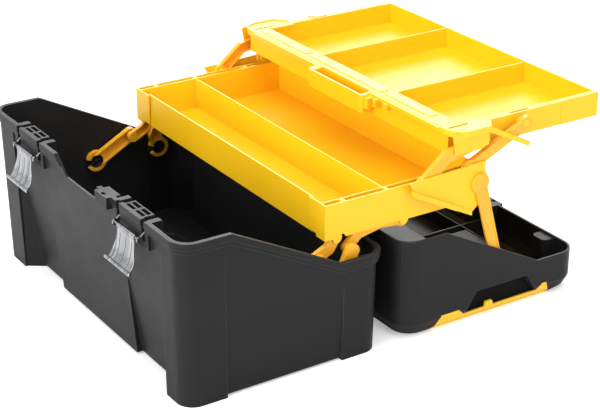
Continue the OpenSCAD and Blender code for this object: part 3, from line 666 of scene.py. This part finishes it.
# --------------------------------------------------------------------- latches
@dataclass
class LatchSheet:
    """The pressed steel lever of a latch, with its barrel, grooves and rolled rod.

    Attributes:
        bench: The hand tools.
        middle_x: Middle of the right lever.
        pivot: Axis of the barrel, as Y and Z.
        neck: Where the sheet leaves the barrel, from the axis.
        lead: Height of the first strip of sheet.
        bends: Points of the sheet below the barrel, from the axis.
        flare: Index of the bend at which the sheet reaches its full width.
        width: Width at the rod.
        taper: How much narrower each side is at the barrel.
        thick: Thickness of the sheet.
        soft: Width of the rounding at the sheet's edges.
        grooves: Places of the grooves, as shares of the width from the middle.
        strips: Cuts on both sides of a groove's middle.
        groove_half: Half width of a groove.
        press_in: Depth of the grooves along Y, and the drop along Z.
        barrel: Outer radius of the barrel.
        tip: Axis of the rod, from the axis of the barrel.
        rod: Radius of the rod.
        overhang: How far the rod stands out at each side.
    """

    bench: Workbench
    middle_x: float = 0.132
    pivot: Pair = (-0.138, 0.178)
    neck: Pair = (-0.0016, -0.0022)
    lead: float = 0.001
    bends: tuple[Pair, ...] = ((-0.0014, -0.0060), (-0.0028, -0.0165), (-0.0046, -0.0262),
                               (-0.0082, -0.0354), (-0.0130, -0.0381))
    flare: int = 2
    width: float = 0.050
    taper: float = 0.005
    thick: float = 0.0011
    soft: float = 0.00028
    grooves: tuple[float, ...] = (-0.27, 0.0, 0.27)
    strips: tuple[float, ...] = (-0.0016, -0.0008, 0.0008, 0.0016)
    groove_half: float = 0.0005
    press_in: Pair = (0.0009, 0.0002)
    barrel: float = 0.0029
    tip: Pair = (-0.0135, -0.0383)
    rod: float = 0.0022
    overhang: float = 0.004

    def point(self, offset: Pair) -> Pair:
        """Gives the Y and Z of a point that is measured from the barrel's axis."""
        return self.pivot[0] + offset[0], self.pivot[1] + offset[1]

    def fold(self) -> Piece:
        """Draws the sheet down from the barrel, one bend after another.

        Returns:
            The sheet, not yet thick.
        """
        narrow = self.width - 2 * self.taper
        y, z = self.point(self.neck)
        self.bench.clear()
        bpy.ops.mesh.primitive_plane_add(
            size=1.0, location=(self.middle_x, y, z - self.lead / 2),
            rotation=(math.pi / 2, 0.0, 0.0))
        sheet = bpy.context.object
        bpy.ops.transform.resize(value=(narrow, 1.0, self.lead))
        bpy.ops.object.transform_apply(location=True, rotation=True, scale=True)
        here = (y, z - self.lead)
        with self.bench.shaping(sheet, "EDGE"):
            for index, bend in enumerate(self.bends):
                there = self.point(bend)
                level = here[1]
                self.bench.pick(sheet, "edges", lambda edge: all(
                    abs(v.co.z - level) < 1e-5 for v in edge.verts))
                bpy.ops.mesh.extrude_region_move(TRANSFORM_OT_translate={
                    "value": (0.0, there[0] - here[0], there[1] - here[1])})
                if index == self.flare:
                    bpy.ops.transform.resize(value=(self.width / narrow, 1.0, 1.0))
                here = there
        return sheet

    def press(self, sheet: Piece) -> None:
        """Cuts the sheet into strips, presses narrow grooves into it and gives the grooves a
        painted shade.

        Args:
            sheet: The folded sheet.
        """
        middles = tuple(self.middle_x + place * self.width for place in self.grooves)
        self.bench.cut_across(sheet, sorted(
            middle + shift for middle in middles for shift in self.strips))
        top = self.point(self.bends[0])[1] - self.groove_half
        low = self.point(self.bends[-1])[1]

        def in_groove(face: bmesh.types.BMFace) -> bool:
            """Says whether a face lies in a groove."""
            centre = face.calc_center_median()
            away = min(abs(centre.x - middle) for middle in middles)
            return low < centre.z < top and away < self.groove_half

        with self.bench.shaping(sheet, "FACE"):
            self.bench.pick(sheet, "faces", in_groove)
            bpy.ops.transform.translate(value=(0.0, *self.press_in))
            # The groove faces take the second slot, the dark steel of painted shade.
            sheet.active_material_index = 1
            bpy.ops.object.material_slot_assign()

    def thicken(self, sheet: Piece) -> None:
        """Gives the sheet its thickness and its soft bends.

        Args:
            sheet: The pressed sheet.
        """
        self.bench.modify(sheet, "SOLIDIFY", thickness=self.thick, offset=0.0)
        self.bench.modify(sheet, "BEVEL", width=self.soft, segments=2, limit_method="ANGLE",
                          angle_limit=math.radians(50.0))
        self.bench.modify(sheet, "SUBSURF", levels=1, render_levels=1)

    def cross_rod(self, radius: float, half: float, axis: Pair, around: int,
                  rounding: float) -> Piece:
        """Makes a bar across the lever, of a half length and about an axis in Y and Z."""
        return self.bench.rod(radius, (self.middle_x - half, *axis), (self.middle_x + half, *axis),
                              around, rounding)

    def build(self) -> None:
        """Builds both levers and puts them in place of the CAD ones."""
        sheet = self.fold()
        for finish in (Finish.SHEET_STEEL, Finish.GROOVE_SHADE_STEEL):
            sheet.data.materials.append(self.bench.paint.material(finish))
        self.press(sheet)
        self.thicken(sheet)
        half = self.width / 2
        barrel = self.cross_rod(self.barrel, half - self.taper, self.pivot, 40, 0.0005)
        rod = self.cross_rod(self.rod, half + self.overhang, self.point(self.tip), 32, 0.0006)
        right = self.bench.join([sheet, barrel, rod])
        for side, piece in self.bench.both_ends(right):
            node = f"latch_lever_{side.word}"
            self.bench.finish(piece, f"latch_sheet_{side.word}", node, "zinc_steel",
                              Finish.SHEET_STEEL, 50.0)
            # The second slot holds the painted shade of the grooves.
            piece.data.materials[1] = self.bench.paint.material(Finish.GROOVE_SHADE_STEEL)
            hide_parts(node)


# ---------------------------------------------------------------------- pivots
@dataclass
class PlugCross:
    """The moulded cross inside the hollow of each pivot plug.

    Attributes:
        bench: The hand tools.
        axes: Y and Z of the two pivots, the word for each and the body that carries it.
        inner_x: Open face of the hollow.
        outer_x: Floor of the hollow.
        reach: Half length of a bar.
        width: Width of a bar.
        turns: Turns of the two bars in degrees.
    """

    bench: Workbench
    axes: tuple[tuple[float, float, str, str], ...] = (
        (0.0, 0.101, "front", "lower_front_links"), (0.092, 0.101, "rear", "lower_rear_links"))
    inner_x: float = 0.2254
    outer_x: float = 0.2272
    reach: float = 0.0052
    width: float = 0.0016
    turns: Pair = (25.0, 115.0)

    def bar(self, y: float, z: float, turn: float) -> Piece:
        """Makes one bar of the cross, with a flat inset on its face towards the box's middle.

        Args:
            y: Place of the pivot.
            z: Height of the pivot.
            turn: Turn of the bar in radians.

        Returns:
            The bar.
        """
        self.bench.clear()
        bpy.ops.mesh.primitive_cube_add(
            size=1.0, location=((self.inner_x + self.outer_x) / 2, y, z))
        bar = bpy.context.object
        bpy.ops.transform.resize(
            value=(self.outer_x - self.inner_x, 2 * self.reach, self.width))
        bpy.ops.object.transform_apply(location=False, rotation=False, scale=True)
        bar.rotation_euler = (turn, 0.0, 0.0)
        bpy.ops.object.transform_apply(location=True, rotation=True, scale=True)
        with self.bench.shaping(bar, "FACE"):
            self.bench.pick(bar, "faces", lambda face: face.normal.x < -LOOKS_ALONG_X)
            bpy.ops.mesh.inset(thickness=0.0004)
        self.bench.modify(bar, "BEVEL", width=0.0002, segments=2)
        return bar

    def build(self) -> None:
        """Builds the crosses of all four plugs."""
        for y, z, place, body in self.axes:
            right = self.bench.join([self.bar(y, z, math.radians(turn)) for turn in self.turns])
            for side, piece in self.bench.both_ends(right):
                self.bench.finish(piece, f"plug_cross_{place}_{side.word}", body,
                                  "plug_plastic", Finish.PLUG)


@dataclass
class SnapTeeth:
    """The ring of small teeth round the boss that carries each lid arm.

    Attributes:
        bench: The hand tools.
        centre: Y and Z of the boss.
        root: Radius between the teeth.
        tip: Radius over the teeth.
        inner_x: Face of the ring at the tray's plate.
        outer_x: Face of the ring at the arm.
        teeth: Number of teeth.
    """

    bench: Workbench
    centre: Pair = (0.267, 0.176)
    root: float = 0.0134
    tip: float = 0.0152
    inner_x: float = 0.2320
    outer_x: float = 0.2332
    teeth: int = 22

    def build(self) -> None:
        """Builds a ring for both ends of the lower tray."""
        y, z = self.centre
        ring = self.bench.rod(self.root, (self.inner_x, y, z), (self.outer_x, y, z),
                              2 * self.teeth)

        def on_tooth(face: bmesh.types.BMFace) -> bool:
            """Says whether a face is the foot of a tooth."""
            middle = face.calc_center_median()
            turn = math.degrees(math.atan2(middle.z - z, middle.y - y)) % 360.0
            return abs(face.normal.x) < LIES_ROUND and int(turn / (180.0 / self.teeth)) % 2 == 0

        with self.bench.shaping(ring, "FACE"):
            self.bench.pick(ring, "faces", on_tooth)
            bpy.ops.mesh.extrude_faces_move(
                TRANSFORM_OT_shrink_fatten={"value": self.tip - self.root})
        self.bench.modify(ring, "BEVEL", width=0.0002, segments=2, limit_method="ANGLE")
        for side, piece in self.bench.both_ends(ring):
            self.bench.finish(piece, f"snap_teeth_{side.word}", "lower_tray",
                              "yellow_plastic", Finish.YELLOW)


# -------------------------------------------------------------------- lid arms
@dataclass
class LidArm:
    """The arm from the lower tray's boss to the lid's stud, hollow on its outer face.

    Attributes:
        bench: The hand tools.
        boss: Y and Z of the pivot on the lower tray.
        stud: Y and Z of the pivot on the lid.
        inner_x: Face towards the tray.
        outer_x: Face towards the outside.
        half_width: Half width of the bar.
        flange: Width of the flanges along the bar.
        hollow: Depth of the hollow between the flanges.
        cap: Radius of the cap over the boss.
        eye: Radius of the eye on the stud.
        bore: Radius of both bores.
        clear: Gap between a bore and the bar's end.
        hollow_share: Size of the hollow's floor as a share of its mouth, along Y and Z.
        cap_wall: Thickness of the cap over its blind bore.
    """

    bench: Workbench
    boss: Pair = (0.267, 0.176)
    stud: Pair = (0.299727, 0.058774)
    inner_x: float = 0.2334
    outer_x: float = 0.2374
    half_width: float = 0.0078
    flange: float = 0.0015
    hollow_shade: float = 0.0014
    cap: float = 0.0120
    eye: float = 0.0090
    bore: float = 0.0059
    clear: float = 0.0015
    hollow_share: Pair = (0.96, 0.985)
    cap_wall: float = 0.0013

    def bar(self) -> Piece:
        """Makes the bar between the two pivots, with its hollow.

        Returns:
            The bar.
        """
        run = Vector((0.0, self.stud[0] - self.boss[0], self.stud[1] - self.boss[1]))
        way = run.normalized()
        start = Vector((0.0, *self.boss)) + way * (self.bore + self.clear)
        end = Vector((0.0, *self.stud)) - way * (self.bore + self.clear)
        middle = (start + end) / 2
        middle.x = (self.inner_x + self.outer_x) / 2
        self.bench.clear()
        bpy.ops.mesh.primitive_cube_add(size=1.0, location=middle)
        bar = bpy.context.object
        bpy.ops.transform.resize(
            value=(self.outer_x - self.inner_x, 2 * self.half_width, (end - start).length))
        bpy.ops.object.transform_apply(location=False, rotation=False, scale=True)
        bar.rotation_euler = (math.atan2(-way.y, way.z), 0.0, 0.0)
        bpy.ops.object.transform_apply(location=True, rotation=True, scale=True)
        with self.bench.shaping(bar, "FACE"):
            self.bench.pick(bar, "faces", lambda face: face.normal.x > LOOKS_ALONG_X)
            bpy.ops.mesh.inset(thickness=self.flange)
            bpy.ops.mesh.extrude_region_move(
                TRANSFORM_OT_translate={"value": (-self.hollow_shade, 0.0, 0.0)})
            bpy.ops.transform.resize(value=(1.0, *self.hollow_share))
        self.bench.modify(bar, "BEVEL", width=0.00035, segments=3, limit_method="ANGLE",
                          angle_limit=math.radians(40.0))
        return bar

    def end_cap(self) -> Piece:
        """Makes the blind cap that turns on the tray's boss.

        Returns:
            The cap.
        """
        y, z = self.boss
        cap = self.bench.rod(self.cap, (self.inner_x, y, z), (self.outer_x, y, z), 64)
        with self.bench.shaping(cap, "FACE"):
            self.bench.pick(cap, "faces", lambda face: len(face.verts) > PLAIN_CORNERS
                            and face.normal.x < 0.0)
            bpy.ops.mesh.inset(thickness=self.cap - self.bore)
            bpy.ops.mesh.extrude_region_move(TRANSFORM_OT_translate={
                "value": (self.outer_x - self.inner_x - self.cap_wall, 0.0, 0.0)})
        with self.bench.shaping(cap, "FACE"):
            self.bench.pick(cap, "faces", lambda face: len(face.verts) > PLAIN_CORNERS
                            and face.normal.x > LOOKS_ALONG_X)
            bpy.ops.mesh.region_to_loop()
            bpy.ops.mesh.bevel(offset=0.0009, segments=4, affect="EDGES")
        return cap

    def stud_eye(self) -> Piece:
        """Makes the eye round the lid's stud.

        Returns:
            The eye.
        """
        y, z = self.stud
        eye = self.bench.rod(self.eye, (self.inner_x, y, z), (self.outer_x, y, z), 48)
        self.bench.bore(eye, self.eye, self.bore)
        self.bench.modify(eye, "BEVEL", width=0.0004, segments=2, limit_method="ANGLE")
        return eye

    def build(self) -> None:
        """Builds both arms and puts them in place of the CAD ones."""
        right = self.bench.join([self.bar(), self.end_cap(), self.stud_eye()])
        for side, piece in self.bench.both_ends(right):
            self.bench.finish(piece, f"arm_channel_{side.word}", "lid_arms",
                              "yellow_plastic", Finish.LINK)
            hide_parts(f"lid_arm_{side.word}")


# ------------------------------------------------------------ organiser covers
@dataclass
class OrganiserCover:
    """The yellow cover in each end of the lid, with its low snap tab.

    Attributes:
        bench: The hand tools.
        tab_low: Height over which the solid cover is its snap tab.
        tab_x: Distance from the middle past which the tab lies.
        tab_y: Nearest and farthest Y of the tab.
        tab_height: Top of the snap tab over the floor.
        tab_narrow: Width of the tab as a share of the solid one.
        merge: Distance under which doubled corners of the solid one are merged.
        hollow_x: Back of the grip hollow, where the sheet of painted shade lies.
        hollow: Corners of the hollow as Y and Z.
        rim: Width of the flat inset border round the shade sheet's face.
        shade_lining: Thickness of the dark sheet of painted shade.
    """

    bench: Workbench
    tab_low: float = 0.0250
    tab_x: float = 0.2355
    tab_y: Pair = (0.279, 0.294)
    tab_height: float = 0.0185
    tab_narrow: float = 0.75
    merge: float = 0.000005
    hollow_x: float = 0.2336
    hollow_shade: tuple[Pair, ...] = ((0.2495, 0.0112), (0.3585, 0.0112),
                                (0.3415, 0.0370), (0.2665, 0.0370))
    rim: float = 0.0012
    shade_lining: float = 0.0003

    def on_tab(self, place: Vector) -> bool:
        """Says whether a corner of the solid cover lies on its snap tab."""
        return (place.z > self.tab_low and abs(place.x) > self.tab_x
                and self.tab_y[0] < place.y < self.tab_y[1])

    def lower_tab(self, piece: Piece) -> None:
        """Brings the snap tab down to its real height.

        Args:
            piece: A merged copy of the solid cover.
        """
        with self.bench.shaping(piece, "VERT"):
            mesh = bmesh.from_edit_mesh(piece.data)
            top = [vertex for vertex in mesh.verts if self.on_tab(vertex.co)]
            if not top:
                return
            for vertex in top:
                vertex.select_set(True)
            height = max(vertex.co.z for vertex in top)
            middle = sum(vertex.co.y for vertex in top) / len(top)
            bmesh.update_edit_mesh(piece.data)
            bpy.ops.transform.translate(value=(0.0, 0.0, self.tab_height - height))
            bpy.ops.transform.resize(value=(1.0, self.tab_narrow, 1.0),
                                     center_override=(0.0, middle, self.tab_height))

    def paint_hollow_shade(self) -> Piece:
        """Makes a dark sheet of painted shade on the back of the grip hollow in the right end of
        the lid.

        Returns:
            The panel.
        """
        self.bench.clear()
        (y0, z0), (y1, _), (y2, z2), (y3, _) = self.hollow_shade
        middle = (z0 + z2) / 2
        bpy.ops.mesh.primitive_plane_add(
            size=1.0, location=(self.hollow_x, (y0 + y1) / 2, middle),
            rotation=(0.0, math.pi / 2, 0.0))
        panel = bpy.context.object
        bpy.ops.transform.resize(value=(1.0, y1 - y0, z2 - z0))
        bpy.ops.object.transform_apply(location=True, rotation=True, scale=True)
        with self.bench.shaping(panel, "EDGE"):
            self.bench.pick(panel, "edges", lambda edge: all(
                v.co.z > middle for v in edge.verts))
            bpy.ops.transform.resize(value=(1.0, (y2 - y3) / (y1 - y0), 1.0),
                                     center_override=(self.hollow_x, (y2 + y3) / 2, z2))
        with self.bench.shaping(panel, "FACE"):
            bpy.ops.mesh.select_all(action="SELECT")
            bpy.ops.mesh.inset(thickness=self.rim)
        self.bench.modify(panel, "SOLIDIFY", thickness=self.shade_lining, offset=0.0)
        return panel

    def build(self, nodes: dict[str, Piece]) -> None:
        """Builds both covers from the solid ones, and puts a dark sheet of painted shade in each
        grip hollow.

        Args:
            nodes: The CAD nodes by name.
        """
        # Each grip hollow gets a dark sheet of painted shade, carried by the lid.
        for side, shade_lining in self.bench.both_ends(self.paint_hollow_shade()):
            node = f"organiser_cover_{side.word}"
            self.bench.only(nodes[node])
            bpy.ops.object.duplicate()
            cover = bpy.context.object
            with self.bench.shaping(cover, "VERT"):
                bpy.ops.mesh.select_all(action="SELECT")
                bpy.ops.mesh.remove_doubles(threshold=self.merge)
            self.lower_tab(cover)
            self.bench.finish(cover, f"cover_shell_{side.word}", node, "yellow_plastic",
                              Finish.YELLOW, 3.0)
            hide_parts(node)
            self.bench.finish(shade_lining, f"hollow_shade_sheet_{side.word}", "lid", "black_plastic",
                              Finish.HOLLOW_SHADE)


# ------------------------------------------------------------- carrying handle
@dataclass
class HandleGrip:
    """The ribbed sleeve on the bar of the carrying handle.

    Attributes:
        bench: The hand tools.
        half: Half length of the sleeve.
        bar_inset: Distance from the handle's rear face to the middle of its bar.
        radius: Radius over the ribs.
        groove: Depth of the grooves.
        ribs: Number of ribs.
    """

    bench: Workbench
    half: float = 0.048
    bar_inset: float = 0.007
    radius: float = 0.0074
    groove: float = 0.0007
    ribs: int = 19

    def build(self) -> None:
        """Builds the sleeve round the bar of the folded handle."""
        low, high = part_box("carrying_handle")
        y, z = high[1] - self.bar_inset, (low[2] + high[2]) / 2
        sleeve = self.bench.rod(self.radius, (-self.half, y, z), (self.half, y, z), 32)
        steps = 2 * self.ribs
        width = 2 * self.half / steps
        self.bench.cut_across(sleeve, (
            -self.half + cut * 2 * self.half / steps for cut in range(1, steps)))

        def in_groove(face: bmesh.types.BMFace) -> bool:
            """Says whether a face lies in a groove."""
            place = face.calc_center_median().x + self.half
            return abs(face.normal.x) < LIES_ROUND and int(place / width) % 2 == 1

        with self.bench.shaping(sleeve, "FACE"):
            self.bench.pick(sleeve, "faces", in_groove)
            bpy.ops.mesh.extrude_region_shrink_fatten(
                TRANSFORM_OT_shrink_fatten={"value": -self.groove})
        self.bench.modify(sleeve, "BEVEL", width=0.0002, segments=2, limit_method="ANGLE")
        self.bench.finish(sleeve, "handle_grip", "carrying_handle", "black_plastic", Finish.BLACK)


# ----------------------------------------------------------------------- stage
@dataclass(frozen=True)
class Lamp:
    """One soft square lamp.

    Attributes:
        name: Name of the lamp.
        place: Where the lamp hangs.
        target: The point that it looks at.
        size: Side of the lamp in metres.
        power: Power in watts.
    """

    name: str
    place: Point
    target: Point
    size: float
    power: float

    def hang(self) -> None:
        """Adds the lamp to the scene and turns it to its target."""
        data = bpy.data.lights.new(self.name, "AREA")
        data.shape = "SQUARE"
        data.size = self.size
        data.energy = self.power
        lamp = bpy.data.objects.new(self.name, data)
        bpy.context.scene.collection.objects.link(lamp)
        lamp.location = self.place
        way = Vector(self.target) - Vector(self.place)
        lamp.rotation_euler = way.to_track_quat("-Z", "Y").to_euler()


@dataclass
class Studio:
    """Pale floor, soft lamps and the camera of the photograph.

    Attributes:
        camera_at: Place of the camera in metres.
        azimuth: Turn of the camera round the object, in degrees.
        elevation: Height angle of the camera, in degrees.
        roll: Turn of the camera about its own axis, in degrees.
        lens: Focal length on a sensor 36 mm wide.
        lamps: The lamps.
        plain_light: Strength of the world's light on the object.
        floor_glow: Added light of the floor where the camera sees it.
        floor_size: Side of the floor in metres.
    """

    camera_at: Point = (1.56664, -0.84701, 0.93238)
    azimuth: float = 56.98
    elevation: float = 24.46
    roll: float = 0.09
    lens: float = 97.561
    lamps: tuple[Lamp, ...] = (
        Lamp("overhead_lamp", (0.3, -0.3, 3.0), (0.0, 0.1, 0.1), 2.6, 60.0),
        Lamp("front_lamp", (0.6, -2.6, 1.1), (0.0, 0.0, 0.15), 1.8, 62.0),
        Lamp("side_lamp", (2.4, 0.5, 1.3), (0.0, 0.1, 0.1), 1.6, 20.0),
        Lamp("back_lamp", (-2.3, 1.7, 1.5), (0.0, 0.1, 0.15), 1.8, 56.0),
    )
    plain_light: float = 0.42
    floor_glow: float = 0.35
    floor_size: float = 40.0

    def add_camera(self) -> None:
        """Adds the camera and makes it the scene's own."""
        a, e, r = (math.radians(v) for v in (self.azimuth, self.elevation, self.roll))
        back = Vector((math.sin(a) * math.cos(e), -math.cos(a) * math.cos(e), math.sin(e)))
        right = Vector((math.cos(a), math.sin(a), 0.0))
        up = back.cross(right)
        side = right * math.cos(r) + up * math.sin(r)
        top = up * math.cos(r) - right * math.sin(r)
        data = bpy.data.cameras.new("camera")
        data.lens = self.lens
        data.sensor_width = 36.0
        data.clip_start = 0.05
        data.clip_end = 50.0
        camera = bpy.data.objects.new("camera", data)
        bpy.context.scene.collection.objects.link(camera)
        turn = Matrix((side, top, back)).transposed().to_4x4()
        camera.matrix_world = Matrix.Translation(self.camera_at) @ turn
        bpy.context.scene.camera = camera

    def add_world(self) -> None:
        """Gives the world a plain light, and white where it is seen or mirrored."""
        world = bpy.data.worlds.new("studio")
        bpy.context.scene.world = world
        world.use_nodes = True
        tree = world.node_tree
        tree.nodes.clear()
        path = tree.nodes.new("ShaderNodeLightPath")
        share = path.outputs["Is Camera Ray"]
        for ray in ("Is Transmission Ray", "Is Glossy Ray"):
            larger = tree.nodes.new("ShaderNodeMath")
            larger.operation = "MAXIMUM"
            tree.links.new(share, larger.inputs[0])
            tree.links.new(path.outputs[ray], larger.inputs[1])
            share = larger.outputs["Value"]
        mix = tree.nodes.new("ShaderNodeMixShader")
        tree.links.new(share, mix.inputs["Fac"])
        for index, strength in ((1, self.plain_light), (2, 1.0)):
            light = tree.nodes.new("ShaderNodeBackground")
            light.inputs["Color"].default_value = (1.0, 1.0, 1.0, 1.0)
            light.inputs["Strength"].default_value = strength
            tree.links.new(light.outputs["Background"], mix.inputs[index])
        output = tree.nodes.new("ShaderNodeOutputWorld")
        tree.links.new(mix.outputs["Shader"], output.inputs["Surface"])

    def floor_material(self) -> bpy.types.Material:
        """Builds the white floor, which keeps only the object's shadow.

        Returns:
            The floor's material.
        """
        n = Nodes("pale_floor")
        speck = n.remap(n.noise(3.0, 2.0), 0.0, 1.0)
        tone = n.mix(speck, (0.93, 0.93, 0.93), (0.95, 0.95, 0.95))
        diffuse = n.node("ShaderNodeBsdfDiffuse")
        n.link(tone, diffuse.inputs["Color"])
        glow = n.node("ShaderNodeEmission")
        glow.inputs["Color"].default_value = (1.0, 1.0, 1.0, 1.0)
        path = n.node("ShaderNodeLightPath")
        share = n.remap(path.outputs["Is Camera Ray"], 0.0, self.floor_glow, 0.0, 1.0)
        n.link(share, glow.inputs["Strength"])
        both = n.node("ShaderNodeAddShader")
        n.link(diffuse.outputs["BSDF"], both.inputs[0])
        n.link(glow.outputs["Emission"], both.inputs[1])
        n.link(both.outputs["Shader"], n.output.inputs["Surface"])
        return n.material

    def add_floor(self) -> None:
        """Adds the floor under the feet of the box."""
        bpy.ops.object.select_all(action="DESELECT")
        bpy.ops.mesh.primitive_plane_add(size=self.floor_size, location=(0.0, 0.0, 0.0))
        floor = bpy.context.object
        floor.name = "studio_floor"
        floor.data.materials.append(self.floor_material())

    def build(self) -> None:
        """Builds the floor, the world, the lamps and the camera."""
        self.add_floor()
        self.add_world()
        for lamp in self.lamps:
            lamp.hang()
        self.add_camera()
        bpy.context.scene.view_settings.view_transform = "Standard"
        LOG.info("studio built")


def main() -> None:
    """Builds the dressed tool box and its studio."""
    logging.basicConfig(level=logging.INFO, format="%(name)s: %(message)s")
    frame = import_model()
    bpy.ops.object.select_all(action="DESELECT")
    paint = Paint()
    CadDressing(frame["nodes"], paint).dress_all()
    bench = Workbench(paint)
    LatchSheet(bench).build()
    PlugCross(bench).build()
    SnapTeeth(bench).build()
    LidArm(bench).build()
    OrganiserCover(bench).build(frame["nodes"])
    HandleGrip(bench).build()
    Studio().build()


if __name__ == "__main__":
    main()
